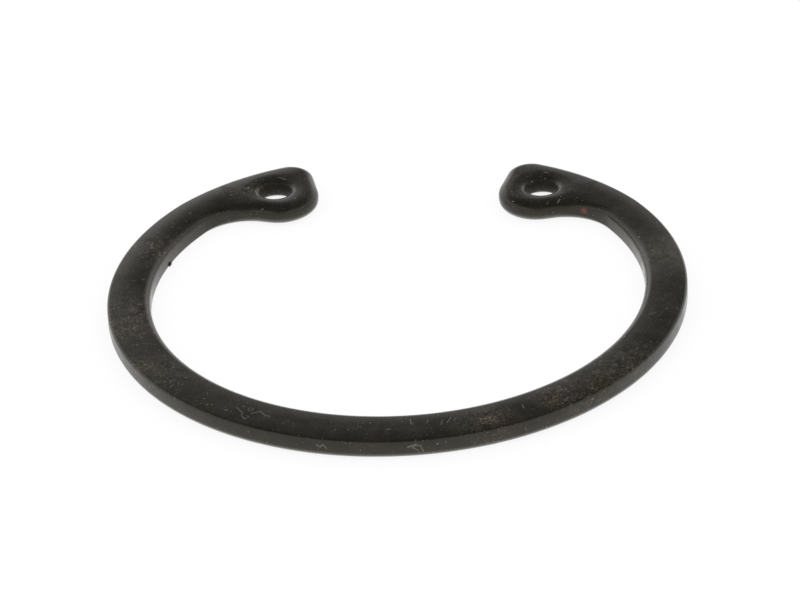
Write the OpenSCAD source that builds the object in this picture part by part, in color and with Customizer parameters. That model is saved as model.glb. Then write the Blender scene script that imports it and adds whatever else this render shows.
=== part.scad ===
/* [Ring] */
// Outside diameter of the relaxed ring, a little over the bore it is sprung into
outside_d = 32.1; // [31:0.1:50]
// Thickness of the spring steel strip that the ring is stamped from
thickness = 1.15; // [1.1:0.05:2]
// Width of the band at its two sides, on the cross axis
side_w = 2.35; // [1.8:0.05:2.6]
// Width of the band opposite the gap, where the ring bends most
front_w = 2.8; // [2.2:0.05:3.6]
// Radius of the band's edges that the stamping rolled over: the rim's below, the inside's above
rolled_r = 0.4; // [0.25:0.05:0.45]
// Radius of the band's edges that it cut crisp, once tumbled: the rim's above, the inside's below
crisp_r = 0.15; // [0.05:0.05:0.25]

/* [Arms] */
// Angle above the cross axis at which each arm starts to curl inside the outer circle
curl_start = 36; // [28:1:40]
// How much smaller the arm's outer radius is than that of the rest of the ring
curl_drop = 2.05; // [1:0.05:2.5]

/* [Lugs] */
// Width of the open gap between the two lug tips, at the height of the plier holes
gap_w = 10.2; // [8:0.1:11.5]
// Depth of each lug below the rim, at its plier hole
lug_depth = 5.05; // [4.8:0.05:5.5]
// Lean of each lug tip away from the gap, in degrees
tip_lean = 14; // [4:1:18]
// Rise of each lug's underside towards the band, in degrees
floor_rise = 13; // [4:1:16]
// Radius of the corner between lug tip and rim
shoulder_r = 1.4; // [0.8:0.1:1.7]
// Radius of the corner between lug tip and underside
toe_r = 2.2; // [0.9:0.1:2.4]
// Radius of the hollow between underside and band
root_r = 2.8; // [1.5:0.1:3.1]
// Radius of the edges round each lug, above and below, where tumbling wears the ring most
lug_edge_r = 0.5; // [0.25:0.05:0.5]

/* [Plier holes] */
// Diameter of the two holes that take the tips of circlip pliers
hole_d = 1.6; // [1.2:0.1:2.2]
// Radius of each hole's mouths, above and below
mouth_r = 0.45; // [0.2:0.05:0.5]
// Depth of each hole's centre below the rim
hole_depth = 2.8; // [2.5:0.05:3]
// Wall left between each hole and the tip of its lug
tip_wall = 1.7; // [1.2:0.05:1.9]

/* [Hidden] */
outer_r = outside_d / 2;
arm_r = outer_r - curl_drop;
arm_c = curl_drop * [cos(curl_start), sin(curl_start)];

// The inside circle clears the rim by front_w at the front and by side_w on the cross axis
front_in = outer_r - front_w;
side_in = outer_r - side_w;
inner_r = (side_in * side_in + front_in * front_in) / (2 * front_in);
inner_c = [0, inner_r - front_in];

// Each lug hangs from the rim straight above its plier hole
hole_x = (gap_w + hole_d) / 2 + tip_wall;
rim_y = arm_c.y + sqrt(arm_r * arm_r - pow(hole_x - arm_c.x, 2));
hole_c = [hole_x, rim_y - hole_depth];

// A point on the lug's tip and one on its underside, the way each line runs and the way it faces
tip_p = [gap_w / 2, hole_c.y];
tip_dir = [sin(tip_lean), cos(tip_lean)];
tip_out = [-cos(tip_lean), sin(tip_lean)];
floor_p = [hole_x, rim_y - lug_depth];
floor_dir = [cos(floor_rise), sin(floor_rise)];
floor_out = [sin(floor_rise), -cos(floor_rise)];

// Steps along each stretch of the outline, so that every point of the rim faces one inside it
band_steps = 46;
root_steps = 12;
floor_steps = 6;
corner_steps = 8;
// Steps round the edge from face to wall
edge_steps = 5;
// How far a cutter runs past the faces
past = 1;

// Where the line through p along unit vector d leaves the circle of radius r round c
function leave(p, d, c, r) =
    let (w = p - c, b = w * d)
    p + d * (sqrt(b * b - w * w + r * r) - b);

// Where the line through p along d crosses the line through q along e
function crossing(p, d, q, e) =
    p + d * ((q.x - p.x) * e.y - (q.y - p.y) * e.x) / (d.x * e.y - d.y * e.x);

// Direction of a vector, from 0 up to 360 degrees
function heading(v) = (atan2(v.y, v.x) + 360) % 360;

// Points along an arc, each with the way the outline faces there: 1 is out of the arc, -1 into it
function arc(c, r, from, to, steps, facing = 1) = [
    for (i = [0:steps])
        let (a = from + (to - from) * i / steps, d = [cos(a), sin(a)])
        [c + r * d, facing * d]
];

// The same without its first point, to follow on from the stretch before
function arc_on(c, r, from, to, steps, facing = 1) =
    let (points = arc(c, r, from, to, steps, facing))
    [for (i = [1:steps]) points[i]];

// Centres of the blends: shoulder and toe round off the tip, root fills the inside corner
shoulder_c = leave(tip_p - shoulder_r * tip_out, tip_dir, arm_c, arm_r - shoulder_r);
toe_c = crossing(tip_p - toe_r * tip_out, tip_dir, floor_p - toe_r * floor_out, floor_dir);
root_c = leave(floor_p + root_r * floor_out, floor_dir, inner_c, inner_r - root_r);
shoulder_at = heading(shoulder_c - arm_c);
tip_at = heading(tip_out);
floor_at = heading(floor_out);
root_at = heading(root_c - inner_c);
floor_from = root_c - root_r * floor_out;
floor_to = toe_c + toe_r * floor_out;

// A stretch whose edges are rounded by a radius above and one below, each running from its first
// value to its second
function edged(stretch, above, below) = [
    for (i = [0:len(stretch) - 1])
        let (share = i / (len(stretch) - 1))
        concat(stretch[i], above * [1 - share, share], below * [1 - share, share])
];

rolled = [rolled_r, rolled_r];
crisp = [crisp_r, crisp_r];
worn = [lug_edge_r, lug_edge_r];
rolled_to_worn = [rolled_r, lug_edge_r];
crisp_to_worn = [crisp_r, lug_edge_r];

// The right half of the rim and of the inside, each from the middle of the front to the lug's tip
rim_half = concat(
    edged(arc([0, 0], outer_r, -90, curl_start, band_steps), crisp, rolled),
    edged(
        arc_on(arm_c, arm_r, curl_start, shoulder_at, root_steps + floor_steps),
        crisp_to_worn, rolled_to_worn
    ),
    edged(arc_on(shoulder_c, shoulder_r, shoulder_at, tip_at, corner_steps), worn, worn)
);
inside_half = concat(
    edged(arc(inner_c, inner_r, -90, root_at, band_steps, -1), rolled, crisp),
    edged(
        arc_on(root_c, root_r, root_at, floor_at - 180, root_steps, -1),
        rolled_to_worn, crisp_to_worn
    ),
    edged([
        for (i = [1:floor_steps])
            [floor_from + (floor_to - floor_from) * i / floor_steps, floor_out]
    ], worn, worn),
    edged(arc_on(toe_c, toe_r, floor_at, tip_at, corner_steps), worn, worn)
);

// A half made whole across the ring's centre line, from the left lug's tip to the right one's
function whole(half) = concat(
    [for (i = [len(half) - 1:-1:1]) let (s = half[i]) [[-s[0].x, s[0].y], [-s[1].x, s[1].y], s[2], s[3]]],
    half
);

function reversed(list) = [for (i = [len(list) - 1:-1:0]) list[i]];

outline = concat(whole(rim_half), reversed(whole(inside_half)));
stations = len(outline) / 2;

// Inset and height of the wall at one layer: layers run up a quarter round from the underside,
// up the flat wall, and up a quarter round to the top face
last_layer = 2 * edge_steps + 1;
function wall_at(layer, above, below) =
    layer <= edge_steps
        ? let (turn = 90 * layer / edge_steps) below * [1 - sin(turn), 1 - cos(turn)]
        : let (turn = 90 * (last_layer - layer) / edge_steps)
            [above * (1 - sin(turn)), thickness - above * (1 - cos(turn))];

// The stamped and tumbled blank: one skin over the layers, closed by a strip across each face
module blank() {
    n = len(outline);
    top = last_layer * n;
    polyhedron(
        points = [
            for (layer = [0:last_layer], s = outline)
                let (w = wall_at(layer, s[2], s[3]), p = s[0] - w[0] * s[1])
                [p.x, p.y, w[1]]
        ],
        faces = concat(
            [
                for (k = [0:last_layer - 1], j = [0:n - 1])
                    let (a = k * n + j, b = k * n + (j + 1) % n)
                    [a, a + n, b + n, b]
            ],
            [for (i = [0:stations - 2]) [i, i + 1, n - 2 - i, n - 1 - i]],
            [for (i = [0:stations - 2]) [top + i, top + n - 1 - i, top + n - 2 - i, top + i + 1]]
        )
    );
}

// What the punch and the tumbling take out at a plier hole: a straight bore with round mouths
module plier_hole() {
    hole_r = hole_d / 2;
    rim_r = hole_r + mouth_r;
    rotate_extrude($fn = 64)
        polygon(concat(
            [[0, -past], [rim_r, -past]],
            [for (layer = [0:last_layer]) [hole_r, 0] + wall_at(layer, mouth_r, mouth_r)],
            [[rim_r, thickness + past], [0, thickness + past]]
        ));
}

module ring() {
    color("#3b3a37")
        difference() {
            blank();
            for (side = [-1, 1])
                translate([side * hole_c.x, hole_c.y, 0])
                    plier_hole();
        }
}

ring();
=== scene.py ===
from math import atan2, cos, pi, radians, sin, sqrt

import bmesh
import bpy
from mathutils import Matrix, Vector
from mathutils.noise import noise as noise_at


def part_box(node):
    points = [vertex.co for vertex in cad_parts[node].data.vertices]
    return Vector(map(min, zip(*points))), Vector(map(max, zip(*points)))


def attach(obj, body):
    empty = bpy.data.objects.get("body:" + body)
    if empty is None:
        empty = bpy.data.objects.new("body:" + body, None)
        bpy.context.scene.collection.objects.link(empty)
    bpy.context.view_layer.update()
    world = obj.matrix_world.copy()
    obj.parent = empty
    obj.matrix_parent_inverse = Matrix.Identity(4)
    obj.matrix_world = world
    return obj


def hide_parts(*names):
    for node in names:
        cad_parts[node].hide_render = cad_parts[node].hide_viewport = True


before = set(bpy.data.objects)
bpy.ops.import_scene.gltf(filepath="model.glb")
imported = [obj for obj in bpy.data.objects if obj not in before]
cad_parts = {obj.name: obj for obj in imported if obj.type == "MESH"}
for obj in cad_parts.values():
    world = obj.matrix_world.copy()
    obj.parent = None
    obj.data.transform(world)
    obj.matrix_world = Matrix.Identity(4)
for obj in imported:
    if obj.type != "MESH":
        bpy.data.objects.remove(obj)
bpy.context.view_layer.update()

MM = 0.001


# The ring: one piece of carbon spring steel strip, stamped to its outline with the two plier
# holes punched through, hardened, tumbled and blackened. The stamping rolled the band's lower
# outer and upper inner edges and cut the others crisp, and tumbling wore the lugs round.
outside_d = 32.1 * MM
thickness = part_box("ring")[1][2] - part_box("ring")[0][2]
side_w = 2.35 * MM
front_w = 2.8 * MM
rolled_r = 0.4 * MM
crisp_r = 0.15 * MM
curl_start = radians(36)
curl_drop = 2.05 * MM
gap_w = 10.2 * MM
lug_depth = 5.05 * MM
tip_lean = radians(14)
floor_rise = radians(13)
shoulder_r = 1.4 * MM
toe_r = 2.2 * MM
root_r = 2.8 * MM
lug_edge_r = 0.5 * MM
hole_d = 1.6 * MM
mouth_r = 0.45 * MM
# The punch broke out wider where it left the strip. The solid part has mouth_r here too.
breakout_r = 0.65 * MM
hole_depth = 2.8 * MM
tip_wall = 1.7 * MM

outer_r = outside_d / 2
arm_r = outer_r - curl_drop
arm_c = Vector((cos(curl_start), sin(curl_start))) * curl_drop
front_in = outer_r - front_w
inner_r = ((outer_r - side_w) ** 2 + front_in ** 2) / (2 * front_in)
inner_c = Vector((0, inner_r - front_in))
hole_x = (gap_w + hole_d) / 2 + tip_wall
rim_y = arm_c.y + sqrt(arm_r ** 2 - (hole_x - arm_c.x) ** 2)
hole_c = Vector((hole_x, rim_y - hole_depth))
tip_p = Vector((gap_w / 2, hole_c.y))
tip_dir = Vector((sin(tip_lean), cos(tip_lean)))
tip_out = Vector((-cos(tip_lean), sin(tip_lean)))
floor_p = Vector((hole_x, rim_y - lug_depth))
floor_dir = Vector((cos(floor_rise), sin(floor_rise)))
floor_out = Vector((sin(floor_rise), -cos(floor_rise)))

# Steps along each stretch of the outline
band_steps, arm_steps, corner_steps, root_steps, hole_steps = 90, 30, 16, 20, 96


def leave(p, along, centre, radius):
    """Where the line through p leaves a circle."""
    w = p - centre
    b = w.dot(along)
    return p + along * (sqrt(b * b - w.dot(w) + radius * radius) - b)


def crossing(p, d, q, e):
    """Where the line through p along d crosses the line through q along e."""
    return p + d * ((q.x - p.x) * e.y - (q.y - p.y) * e.x) / (d.x * e.y - d.y * e.x)


def heading(v):
    """Direction of a vector, from 0 up to a full turn."""
    return atan2(v.y, v.x) % (2 * pi)


def arc(centre, radius, start, end, steps, above, below, facing=1):
    """Stations along an arc: a point of the wall, the way it faces (1 is out of the arc, -1 into
    it), and the radius of its edge above and of the one below, from their first values to their
    second."""
    stations = []
    for share in [i / steps for i in range(steps + 1)]:
        turn = start + (end - start) * share
        out = Vector((cos(turn), sin(turn)))
        stations.append((
            centre + out * radius, out * facing,
            above[0] + (above[1] - above[0]) * share, below[0] + (below[1] - below[0]) * share,
        ))
    return stations


rolled, crisp, worn = (rolled_r, rolled_r), (crisp_r, crisp_r), (lug_edge_r, lug_edge_r)
rolled_to_worn, crisp_to_worn = (rolled_r, lug_edge_r), (crisp_r, lug_edge_r)
worn_to_rolled, worn_to_crisp = rolled_to_worn[::-1], crisp_to_worn[::-1]
shoulder_c = leave(tip_p - tip_out * shoulder_r, tip_dir, arm_c, arm_r - shoulder_r)
toe_c = crossing(tip_p - tip_out * toe_r, tip_dir, floor_p - floor_out * toe_r, floor_dir)
root_c = leave(floor_p + floor_out * root_r, floor_dir, inner_c, inner_r - root_r)
shoulder_at = heading(shoulder_c - arm_c)
tip_at = heading(tip_out)
floor_at = heading(floor_out)
root_at = heading(root_c - inner_c)
right_half = (
    arc(Vector((0, 0)), outer_r, -pi / 2, curl_start, band_steps, crisp, rolled)
    + arc(arm_c, arm_r, curl_start, shoulder_at, arm_steps, crisp_to_worn, rolled_to_worn)[1:]
    + arc(shoulder_c, shoulder_r, shoulder_at, tip_at, corner_steps, worn, worn)[1:]
    + arc(toe_c, toe_r, tip_at, floor_at, corner_steps, worn, worn)
    + arc(root_c, root_r, floor_at - pi, root_at, root_steps, worn_to_rolled, worn_to_crisp, -1)
    + arc(inner_c, inner_r, root_at, -pi / 2, band_steps, rolled, crisp, -1)[1:]
)
left_half = [
    (Vector((-p.x, p.y)), Vector((-out.x, out.y)), above, below)
    for p, out, above, below in right_half[-2:0:-1]
]
mouth, breakout = (mouth_r, mouth_r), (breakout_r, breakout_r)
right_hole, left_hole = [
    arc(Vector((x, hole_c.y)), hole_d / 2, 2 * pi, 0, hole_steps, mouth, breakout, -1)[1:]
    for x in (hole_x, -hole_x)
]


# The helpers below add to the node tree in hand, which each tree's first lines set as tree
def add(kind, settings=(), **links):
    """A node of that kind, with its settings and its inputs: a socket is linked, a value is set.
    An input is named with _ for each space, or numbered after one _."""
    n = tree.nodes.new(kind)
    for name, value in dict(settings).items():
        setattr(n, name, value)
    for name, value in links.items():
        socket = n.inputs[int(name[1:])] if name[1:].isdigit() else n.inputs[name.replace("_", " ")]
        if isinstance(value, bpy.types.NodeSocket):
            tree.links.new(value, socket)
        else:
            socket.default_value = value
    return n


def maths(kind, *values):
    """The result of a Math node: SMOOTH_MIN and SMOOTH_MAX take the width of the blend last."""
    links = {f"_{i}": value for i, value in enumerate(values)}
    return add("ShaderNodeMath", {"operation": kind}, **links).outputs[0]


def vectors(kind, *values, **more):
    """The result of a Vector Math node, a number for the kinds that measure."""
    links = {f"_{i}": value for i, value in enumerate(values)}
    results = add("ShaderNodeVectorMath", {"operation": kind}, **links, **more).outputs
    return results["Value" if kind in ("DISTANCE", "DOT_PRODUCT", "LENGTH") else "Vector"]


def greatest(values):
    """The greatest of several numbers from 0 up."""
    most = 0.0
    for value in values:
        most = maths("MAXIMUM", most, value)
    return most


def axis(vector, name):
    """A vector's part along X, Y or Z."""
    return add("ShaderNodeSeparateXYZ", Vector=vector).outputs[name]


def along_axes(**parts):
    """A vector from its parts along X, Y and Z."""
    return add("ShaderNodeCombineXYZ", **parts).outputs["Vector"]


def ramp(value, low, high, start=0.0, end=1.0):
    """The value's way from low to high, as a number from start to end."""
    return add(
        "ShaderNodeMapRange", Value=value, From_Min=low, From_Max=high, To_Min=start, To_Max=end,
    ).outputs["Result"]


def linear(hex_colour):
    """An sRGB hex colour as the linear RGBA that a shader takes."""
    parts = [int(hex_colour[i:i + 2], 16) / 255 for i in (1, 3, 5)]
    return [c / 12.92 if c <= 0.04045 else ((c + 0.055) / 1.055) ** 2.4 for c in parts] + [1]


# The finish: black oxide on hardened spring steel, grown in a hot salt bath after tumbling. It is
# a thin matt skin, near black with a brown cast, glossier where it has rubbed and rusting where oil
# has gone.
black_oxide = bpy.data.materials.new("black_oxide_spring_steel")
black_oxide.use_nodes = True
tree = black_oxide.node_tree
tree.nodes.clear()
place = add("ShaderNodeTexCoord").outputs["Object"]


def noise(size, detail, roughness=0.6):
    """Noise whose largest patches measure the given size in millimetres."""
    return add(
        "ShaderNodeTexNoise",
        Vector=place, Scale=1 / (size * MM), Detail=detail, Roughness=roughness,
    ).outputs["Fac"]


def mixed(share, under, over):
    """One colour over another, by the upper one's share."""
    return add("ShaderNodeMix", {"data_type": "RGBA"}, _0=share, _6=under, _7=over).outputs[2]


def round_patch(x, y, radius, soft=0.9, height=thickness / MM):
    """How much of a round patch at x, y lies here, from 1 in its middle to 0 at its edge. The
    patches make stains, a pit and the painted highlight on the right arm.
    """
    away = vectors("DISTANCE", place, (x * MM, y * MM, height * MM))
    return ramp(away, radius * MM, radius * (1 - soft) * MM)


# The skin varies from olive to a reddish brown over about a millimetre
clouds, patches, flecks = noise(1.1, 6, 0.65), noise(0.6, 6, 0.75), noise(0.2, 3, 0.7)
grain, dust, fine_dust = noise(0.14, 3), noise(0.22, 2, 0.5), noise(0.13, 1)
oxide = mixed(ramp(clouds, 0.38, 0.62), linear("#15150e"), linear("#201b15"))

# Brown stains where the oil has gone, each by its place on the ring and its radius in millimetres
brown_stains = {
    "left side": (-14.6, -3.2, 3.4), "left front": (-13.0, -9.0, 3.0),
    "left arm": (-14.3, 4.5, 2.4), "left lug root": (-9.0, 11.0, 1.3),
    "front": (5.6, -13.9, 2.0), "right front": (10.0, -11.3, 2.2), "right side": (12.6, -8.2, 2.6),
}
browned = greatest(round_patch(*spot) for spot in brown_stains.values())
browned = maths("MULTIPLY", browned, ramp(patches, 0.42, 0.62))
brown = mixed(ramp(flecks, 0.42, 0.68), linear("#241e17"), linear("#4c4237"))
skin = mixed(browned, oxide, brown)

# Olive, reddish and yellowish tints within those stains: the most of each, its colour and its spots
olive_spots = [(4.5, -14.6, 1.3), (-9.5, -12.4, 1.2), (-12.9, -9.3, 1.6), (11.6, -8.4, 1.5)]
reddish_spots = [(5.9, -13.75, 1.1), (9.0, -11.9, 1.3)]
yellowish_spots = [(-14.6, -4.5, 1.5), (-13.4, -8.0, 1.2), (11.5, -10.0, 1.6), (14.0, -3.2, 0.8)]
tints = [
    (0.7, "#2f3020", olive_spots), (0.6, "#5a4438", reddish_spots),
    (0.6, "#4b402f", yellowish_spots),
]
for share, colour, spots in tints:
    tinted = greatest(round_patch(*spot) for spot in spots)
    tinted = maths("MULTIPLY", tinted, ramp(flecks, 0.46, 0.58, 0, share))
    skin = mixed(tinted, skin, linear(colour))

# A spot of rust on the wall where the right lug begins, and a painted highlight on that arm: a pale
# patch that lightens its top towards the outer edge, where the arm catches the light
rusted = maths("MULTIPLY", round_patch(10.0, 8.75, 0.36, height=0.68), ramp(flecks, 0.4, 0.5))
skin = mixed(rusted, skin, linear("#9c5340"))
# Painted highlight: a pale patch towards the right arm's outer edge, standing in for light caught
# there
painted_arm_highlight = maths("MULTIPLY", round_patch(14.7, 3.4, 3.2), ramp(patches, 0.35, 0.65, 0.15, 0.75))
skin = mixed(painted_arm_highlight, skin, linear("#4f4b43"))


def line_of(away, width):
    """1 on a line and 0 beside it, from how far away it is in metres and its half width."""
    return ramp(away, width * MM, width * 0.4 * MM)


def straight_mark(x0, y0, x1, y1, width=0.035, heights=None):
    """1 along a straight mark between two places, in millimetres, and 0 beside it. It goes through
    the whole thickness if it has no heights."""
    z0, z1 = heights or (0, 0)
    start, run = Vector((x0, y0, z0)) * MM, Vector((x1 - x0, y1 - y0, z1 - z0)) * MM
    gone = vectors("SUBTRACT", place, start)
    gone = vectors("MULTIPLY", gone, (1, 1, 1 if heights else 0))
    share = ramp(vectors("DOT_PRODUCT", gone, run / run.length_squared), 0.0, 1.0)
    return line_of(vectors("DISTANCE", gone, vectors("SCALE", run, Scale=share)), width)


def curl(x, y, radius, opens, width=0.035):
    """1 along three fifths of a circle, open on the side that the angle gives, and 0 beside it."""
    gone = vectors("SUBTRACT", place, (x * MM, y * MM, thickness))
    away = maths("ABSOLUTE", maths("SUBTRACT", vectors("LENGTH", gone), radius * MM))
    aside = vectors("DOT_PRODUCT", gone, (cos(radians(opens)), sin(radians(opens)), 0))
    closed_side = ramp(aside, radius * 0.4 * MM, radius * 0.2 * MM)
    return maths("MULTIPLY", line_of(away, width), closed_side)


def thread(spots, width=0.035):
    """1 along a thread of lint that lies through the spots, in millimetres, and 0 beside it."""
    return greatest(
        straight_mark(x0, y0, x1, y1, width, (z0, z1))
        for (x0, y0, z0), (x1, y1, z1) in zip(spots, spots[1:])
    )


def on_front(*spots):
    """Spots on the rim's front wall, each from its place along X and its height."""
    return [(x, -sqrt((outer_r / MM) ** 2 - x * x), z) for x, z in spots]


def on_top(*spots):
    """Spots on the top face."""
    return [(x, y, thickness / MM) for x, y in spots]


# Pale marks: dust that clings to the oil, a nick by the right hole, painted highlights on the left
# hole's rim, nicks along the edges, fine scratches on the front, and threads of lint on the front
# wall and on the top
mark_share = 0.28
pale_marks = [
    straight_mark(-10.6, 7.95, -10.4, 8.1, 0.07), straight_mark(-11.7, 6.45, -11.6, 6.65, 0.06),
    straight_mark(-14.3, 1.1, -14.15, 1.2, 0.05), straight_mark(7.7, 12.65, 7.9, 12.6, 0.06),
    straight_mark(8.6, 9.3, 8.7, 9.5, 0.06), straight_mark(9.5, 8.3, 9.6, 8.2, 0.06),
    # The second mark here and the first on the next line are painted highlights: pale streaks on
    # the left hole's rim where its edges catch the light
    straight_mark(6.2, -15.6, 6.35, -15.5, 0.05), straight_mark(-8.75, 10.95, -8.55, 10.5, 0.05),
    straight_mark(-7.5, 12.45, -7.1, 12.2, 0.05), straight_mark(-7.25, 8.7, -6.95, 8.55, 0.05),
    straight_mark(-8.42, -12.74, -8.38, -12.74, 0.07), straight_mark(0.3, -14.9, 0.5, -14.8, 0.05),
    straight_mark(7.42, -12.54, 7.51, -12.85, 0.045), straight_mark(7.75, -11.8, 7.77, -11.77, 0.05),
    straight_mark(1.51, -13.87, 1.59, -14.36, 0.045), straight_mark(2.45, -13.9, 2.42, -14.3, 0.025),
    straight_mark(3.23, -13.95, 3.17, -14.45), straight_mark(3.68, -13.73, 3.48, -14.25),
    straight_mark(3.95, -13.75, 3.85, -14.05, 0.025),
    thread(on_front((1.48, 0.73), (1.93, 0.87)), 0.06), thread(on_front((1.7, 0.68), (2.03, 0.5))),
    thread(on_front((1.75, 0.8), (2.13, 0.79), (2.29, 0.4)), 0.045),
    thread(on_front((-3.4, 0.77), (-3.2, 0.63), (-3.05, 0.81), (-2.85, 0.57)), 0.045),
    thread(on_top(
        (-7.85, -12.5), (-7.51, -13.06), (-7.54, -13.33), (-7.34, -13.68), (-7.14, -13.42),
    )),
    curl(-7.1, -12.72, 0.14, 290, 0.03), curl(-7.1, -12.72, 0.14, 110, 0.03),
    thread(on_top((-7.02, -13.13), (-6.56, -12.9), (-6.27, -13.35), (-6.04, -13.41)), 0.045),
]
pale = greatest([
    ramp(dust, 0.70, 0.76, 0, 0.4), ramp(fine_dust, 0.7, 0.76, 0, 0.3),
    maths("MULTIPLY", browned, ramp(fine_dust, 0.6, 0.68, 0, 0.6)),
    maths("MULTIPLY", greatest(pale_marks), mark_share),
])
skin = mixed(pale, skin, linear("#98938a"))

# Dark marks: fine specks, a pit in the right arm and a crescent scrape by the left one's inner edge
pitted = greatest([
    round_patch(13.7, 4.55, 0.16), curl(-14.0, 0.95, 0.4, 20, 0.07), ramp(fine_dust, 0.3, 0.24, 0, 0.7),
])
skin = mixed(pitted, skin, linear("#080706"))

# The tumbling also crowned the faces: they fall off a little over the last stretch before an edge.
# How far inside the outline a place lies comes from the same circles and lines as the outline,
# with the left half folded onto the right one.
crown_w, crown_drop = 1.3 * MM, 0.1 * MM
folded = along_axes(X=axis(vectors("ABSOLUTE", place), "X"), Y=axis(place, "Y"))


def from_point(centre):
    """How far a place lies from a point."""
    return vectors("DISTANCE", folded, (*centre, 0))


def past_line(point, facing):
    """How far a place lies past the line through a point, on the side that it faces."""
    return maths("SUBTRACT", vectors("DOT_PRODUCT", folded, (*facing, 0)), point.dot(facing))


on_arm = maths("GREATER_THAN", past_line(arm_c, Vector((-sin(curl_start), cos(curl_start)))), 0.0)
from_rim = add(
    "ShaderNodeMix", {"data_type": "FLOAT"}, _0=on_arm,
    _2=maths("SUBTRACT", outer_r, from_point((0, 0))),
    _3=maths("SUBTRACT", arm_r, from_point(arm_c)),
).outputs[0]
from_hole = maths("SUBTRACT", from_point(hole_c), hole_d / 2)
in_lug = maths("SMOOTH_MIN", past_line(floor_p, -floor_out), past_line(tip_p, -tip_out), toe_r)
in_band = maths("SUBTRACT", from_point(inner_c), inner_r)
inwards = maths("SMOOTH_MAX", in_lug, in_band, shoulder_r)
inwards = maths("SMOOTH_MIN", inwards, from_rim, shoulder_r)
inwards = maths("SMOOTH_MIN", inwards, from_hole, rolled_r)
fall = maths("POWER", ramp(inwards, crown_w, 0.0), 2.0)
upright = maths("ABSOLUTE", axis(add("ShaderNodeNewGeometry").outputs["Normal"], "Z"))
crown = add(
    "ShaderNodeBump", Strength=ramp(upright, 0.6, 0.95), Distance=1.0,
    Height=maths("MULTIPLY", fall, -crown_drop),
)
pits = add(
    "ShaderNodeBump", Strength=0.3, Distance=0.006 * MM, Height=grain,
    Normal=crown.outputs["Normal"],
)

# The skin is duller in its stains and under the dust, and dullest on the wall of each bore, which
# the punch tore rather than cut
dulled = maths("MULTIPLY", maths("MAXIMUM", browned, pale), 0.2)
in_bore = ramp(from_hole, 0.2 * MM, 0.1 * MM, 0, 0.6)
dull = maths("ADD", maths("ADD", ramp(clouds, 0.35, 0.65, 0.17, 0.3), dulled), in_bore)
shader = add(
    "ShaderNodeBsdfPrincipled", Base_Color=skin, Roughness=dull, Normal=pits.outputs["Normal"],
    Specular_IOR_Level=0.42, Specular_Tint=linear("#fffaef"), Sheen_Weight=0.08,
    Sheen_Roughness=0.25,
)
add("ShaderNodeOutputMaterial", Surface=shader.outputs["BSDF"])

# The outline and the holes are closed lines, whose points keep how the wall stands there. They are
# in millimetres, in which the faces fill cleanly.
points, edges = [], []
for loop in (right_half + left_half, right_hole, left_hole):
    first, count = len(points), len(loop)
    points += loop
    edges += [(first + (i + 1) % count, first + i) for i in range(count)]
outline = bpy.data.meshes.new("ring_outline")
outline.from_pydata([(p.x / MM, p.y / MM, 0) for p, out, above, below in points], edges, [])
facings = [part for p, out, above, below in points for part in (out.x, out.y, 0)]
outline.attributes.new("facing", "FLOAT_VECTOR", "POINT").data.foreach_set("vector", facings)
for index, name in ((2, "above"), (3, "below")):
    radii = [station[index] / MM for station in points]
    outline.attributes.new(name, "FLOAT", "POINT").data.foreach_set("value", radii)
ring = bpy.data.objects.new("circlip_ring", outline)
bpy.context.scene.collection.objects.link(ring)

# The lines are drawn up into walls, one layer at a time: a quarter round from the underside, the
# flat wall, and a quarter round to the top. A face then fills each side, and all of it is brought
# to metres.
press = bpy.data.node_groups.new("stamp_and_tumble", "GeometryNodeTree")
press.interface.new_socket("Outline", in_out="INPUT", socket_type="NodeSocketGeometry")
press.interface.new_socket("Thickness", in_out="INPUT", socket_type="NodeSocketFloat")
press.interface.new_socket("Steps round an edge", in_out="INPUT", socket_type="NodeSocketInt")
press.interface.new_socket("Unit", in_out="INPUT", socket_type="NodeSocketFloat")
press.interface.new_socket("Ring", in_out="OUTPUT", socket_type="NodeSocketGeometry")
tree = press
given = add("NodeGroupInput").outputs


def stored(kind, name):
    """What each point keeps under a name."""
    return add("GeometryNodeInputNamedAttribute", {"data_type": kind}, Name=name).outputs[0]


def chosen(test, otherwise, then):
    """One of two numbers, by a test."""
    return add(
        "GeometryNodeSwitch", {"input_type": "FLOAT"}, _0=test, _1=otherwise, _2=then,
    ).outputs[0]


# The start: each point remembers its station and moves in by the radius of its edge below
position, facing = add("GeometryNodeInputPosition").outputs[0], stored("FLOAT_VECTOR", "facing")
above, below = stored("FLOAT", "above"), stored("FLOAT", "below")
marked = add(
    "GeometryNodeStoreNamedAttribute", {"data_type": "FLOAT_VECTOR", "domain": "POINT"},
    Geometry=given["Outline"], Name="station", Value=position,
)
lowest = vectors("SUBTRACT", position, vectors("SCALE", facing, Scale=below))
started = add("GeometryNodeSetPosition", Geometry=marked.outputs[0], Position=lowest)

# Each pass of the zone draws the newest edges on to the next layer
steps = given["Steps round an edge"]
layers = maths("ADD", maths("MULTIPLY", steps, 2.0), 1.0)
draw, drawn = tree.nodes.new("GeometryNodeRepeatInput"), tree.nodes.new("GeometryNodeRepeatOutput")
draw.pair_with_output(drawn)
drawn.repeat_items.new("BOOLEAN", "Newest")
tree.links.new(layers, draw.inputs["Iterations"])
tree.links.new(started.outputs[0], draw.inputs["Geometry"])
draw.inputs["Newest"].default_value = True
layer = maths("ADD", draw.outputs["Iteration"], 1.0)
is_low = maths("LESS_THAN", layer, maths("ADD", steps, 0.5))
turned = maths("DIVIDE", chosen(is_low, maths("SUBTRACT", layers, layer), layer), steps)
turned = maths("MULTIPLY", turned, pi / 2)
radius = chosen(is_low, above, below)
inset = maths("MULTIPLY", radius, maths("SUBTRACT", 1.0, maths("SINE", turned)))
rise = maths("MULTIPLY", radius, maths("SUBTRACT", 1.0, maths("COSINE", turned)))
lift = chosen(is_low, maths("SUBTRACT", given["Thickness"], rise), rise)
spot = vectors("SUBTRACT", stored("FLOAT_VECTOR", "station"), vectors("SCALE", facing, Scale=inset))
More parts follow.
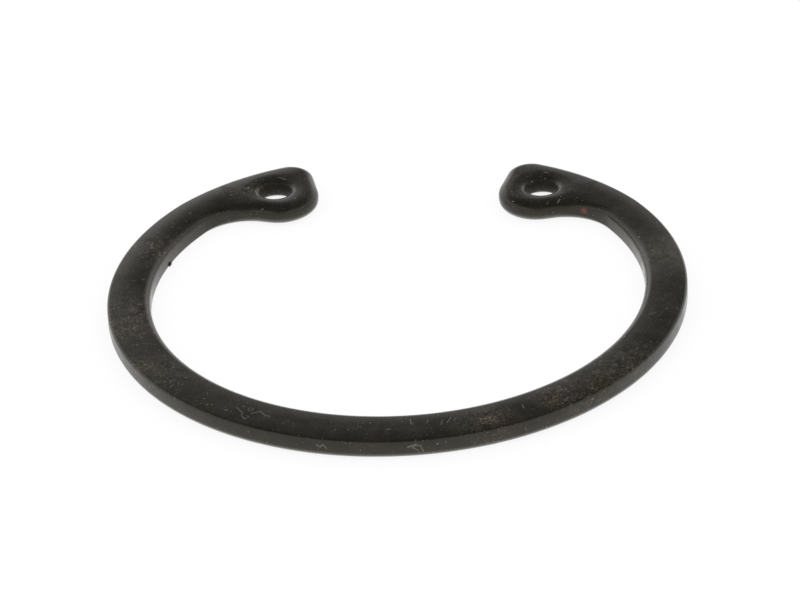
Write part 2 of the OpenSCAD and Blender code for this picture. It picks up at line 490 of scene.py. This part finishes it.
extruded = add(
    "GeometryNodeExtrudeMesh", {"mode": "EDGES"}, Mesh=draw.outputs["Geometry"],
    Selection=draw.outputs["Newest"], Offset_Scale=0.0,
)
moved = add(
    "GeometryNodeSetPosition", Geometry=extruded.outputs["Mesh"],
    Selection=extruded.outputs["Top"], Position=vectors("ADD", spot, along_axes(Z=lift)),
)
tree.links.new(moved.outputs[0], drawn.inputs["Geometry"])
tree.links.new(extruded.outputs["Top"], drawn.inputs["Newest"])
walls = drawn.outputs["Geometry"]

# A face fills the walls' border on each side: NIMPLY finds the lower one, and AND the upper one
faces_at = add("GeometryNodeInputMeshEdgeNeighbors").outputs["Face Count"]
is_border = add(
    "FunctionNodeCompare", {"data_type": "INT", "operation": "EQUAL"}, _2=faces_at, _3=1,
).outputs[0]
middle = maths("MULTIPLY", given["Thickness"], 0.5)
is_upper = maths("GREATER_THAN", axis(position, "Z"), middle)
shell = add("GeometryNodeJoinGeometry", _0=walls)
for operation in ("NIMPLY", "AND"):
    on_side = add("FunctionNodeBooleanMath", {"operation": operation}, _0=is_border, _1=is_upper)
    border = add("GeometryNodeMeshToCurve", Mesh=walls, Selection=on_side.outputs[0])
    face = add("GeometryNodeFillCurve", {"mode": "TRIANGLES"}, Curve=border.outputs[0])
    if operation == "AND":
        up = along_axes(Z=given["Thickness"])
        face = add("GeometryNodeTransform", Geometry=face.outputs[0], Translation=up)
    else:
        face = add("GeometryNodeFlipFaces", Mesh=face.outputs[0])
    tree.links.new(face.outputs[0], shell.inputs[0])
closed = add("GeometryNodeMergeByDistance", Geometry=shell.outputs[0], Distance=0.001)
smooth = add("GeometryNodeSetShadeSmooth", Geometry=closed.outputs[0])
unit = along_axes(X=given["Unit"], Y=given["Unit"], Z=given["Unit"])
metres = add("GeometryNodeTransform", Geometry=smooth.outputs[0], Scale=unit)
whole = add("GeometryNodeRealizeInstances", Geometry=metres.outputs[0])
finished = add("GeometryNodeSetMaterial", Geometry=whole.outputs[0], Material=black_oxide)
add("NodeGroupOutput", Ring=finished.outputs[0])

stamp = ring.modifiers.new("stamp", "NODES")
stamp.node_group = press
values = {"Thickness": thickness / MM, "Steps round an edge": 8, "Unit": MM}
for socket in press.interface.items_tree:
    if socket.in_out == "INPUT" and socket.name in values:
        stamp[socket.identifier] = values[socket.name]
even = ring.modifiers.new("even", "WEIGHTED_NORMAL")
even.weight = 100
made = bpy.data.meshes.new_from_object(ring.evaluated_get(bpy.context.evaluated_depsgraph_get()))
for name in ("facing", "above", "below", "station"):
    made.attributes.remove(made.attributes[name])
ring.modifiers.clear()
ring.data = made
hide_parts("ring")
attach(ring, "root")


# The burr: a ragged tooth of steel that the die tore at the foot of the left arm's inner wall. Its
# place is an angle round the inside circle, and its sizes are from its middle to its surface.
burr_at, burr_height = radians(162.9), 0.15 * MM
burr_reach, burr_length, burr_depth = 0.1 * MM, 0.17 * MM, 0.12 * MM
to_middle = -Vector((cos(burr_at), sin(burr_at), 0))
beside = Vector((-to_middle.y, to_middle.x, 0))
foot = inner_c.to_3d() - to_middle * inner_r + Vector((0, 0, burr_height))
tooth = bmesh.new()
bmesh.ops.create_icosphere(tooth, subdivisions=3, radius=1)
for v in tooth.verts:
    ragged = v.co * (1 + 0.45 * noise_at(v.co * 1.7))
    v.co = foot + to_middle * ragged.x * burr_reach + beside * ragged.y * burr_length
    v.co.z = max(v.co.z + ragged.z * burr_depth, 0.01 * MM)
for facet in tooth.faces:
    facet.smooth = True
torn = bpy.data.meshes.new("shear_burr")
tooth.to_mesh(torn)
tooth.free()
torn.materials.append(black_oxide)
burr = bpy.data.objects.new("shear_burr", torn)
bpy.context.scene.collection.objects.link(burr)
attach(burr, "root")


# The stage: a white sheet under the ring, lit from below so that it shines most straight up, and
# a soft white surround that is brightest low down and at the sides. None of it is part of the ring.
half_w = 3
corners = [(-half_w, -half_w, 0), (half_w, -half_w, 0), (half_w, half_w, 0), (-half_w, half_w, 0)]
sheet = bpy.data.meshes.new("table")
sheet.from_pydata(corners, [], [(0, 1, 2, 3)])
table = bpy.data.objects.new("table", sheet)
bpy.context.scene.collection.objects.link(table)
paper = bpy.data.materials.new("white_paper")
paper.use_nodes = True
tree = paper.node_tree
tree.nodes.clear()
matt = add("ShaderNodeBsdfDiffuse", Color=linear("#f4f4f2"))
upwards = axis(add("ShaderNodeNewGeometry").outputs["Incoming"], "Z")
lit = add("ShaderNodeEmission", Strength=ramp(upwards, 0.55, 0.9, 1.03, 2.4))
glowing = add("ShaderNodeMixShader", _0=0.85, _1=matt.outputs[0], _2=lit.outputs[0])
add("ShaderNodeOutputMaterial", Surface=glowing.outputs[0])
sheet.materials.append(paper)

# Only the ring's reflections see the surround's shades, and everything else sees it evenly white
world = bpy.data.worlds.new("white_surround")
world.use_nodes = True
bpy.context.scene.world = world
tree = world.node_tree
tree.nodes.clear()
toward = add("ShaderNodeTexCoord").outputs["Generated"]
up, across = axis(toward, "Z"), axis(toward, "X")
low = ramp(up, 0.5, 0.05, 0.0, 0.76)
left, right = ramp(across, -0.05, -0.45, 0.0, 0.75), ramp(across, 0.05, 0.5, 0.0, 0.5)
sides = maths("MULTIPLY", maths("ADD", left, right), ramp(up, 0.75, 0.45))
level = maths("MINIMUM", maths("ADD", maths("ADD", low, 0.165), sides), 1.15)
shaded = add("ShaderNodeBackground", Color=linear("#ffffff"), Strength=level)
plain = add("ShaderNodeBackground", Color=linear("#ffffff"), Strength=1.0)
is_glossy = add("ShaderNodeLightPath").outputs["Is Glossy Ray"]
seen = add("ShaderNodeMixShader", _0=is_glossy, _1=plain.outputs[0], _2=shaded.outputs[0])
add("ShaderNodeOutputWorld", Surface=seen.outputs[0])

# The camera stands off about 31 cm with a long lens and looks down on the ring's centre, slid a
# little sideways and up. The photo is 800 pixels wide.
photo_px, lens_px, sensor_mm = 800, 5552, 36
stand_off = 307.5 * MM
azimuth, elevation, roll = radians(4.89), radians(30.66), radians(-3.17)
slide = (0.117 * MM, 0.078 * MM, 0)
back = Vector((sin(azimuth) * cos(elevation), -cos(azimuth) * cos(elevation), sin(elevation)))
camera = bpy.data.objects.new("camera", bpy.data.cameras.new("camera"))
bpy.context.scene.collection.objects.link(camera)
bpy.context.scene.camera = camera
camera.data.sensor_width = sensor_mm
camera.data.lens = lens_px * sensor_mm / photo_px
camera.data.clip_start = 0.01
turn = back.to_track_quat("Z", "Y").to_matrix() @ Matrix.Rotation(roll, 3, "Z")
camera.matrix_world = (
    Matrix.Translation(back * stand_off) @ turn.to_4x4() @ Matrix.Translation(slide)
)

view = bpy.context.scene.view_settings
view.view_transform = "Standard"
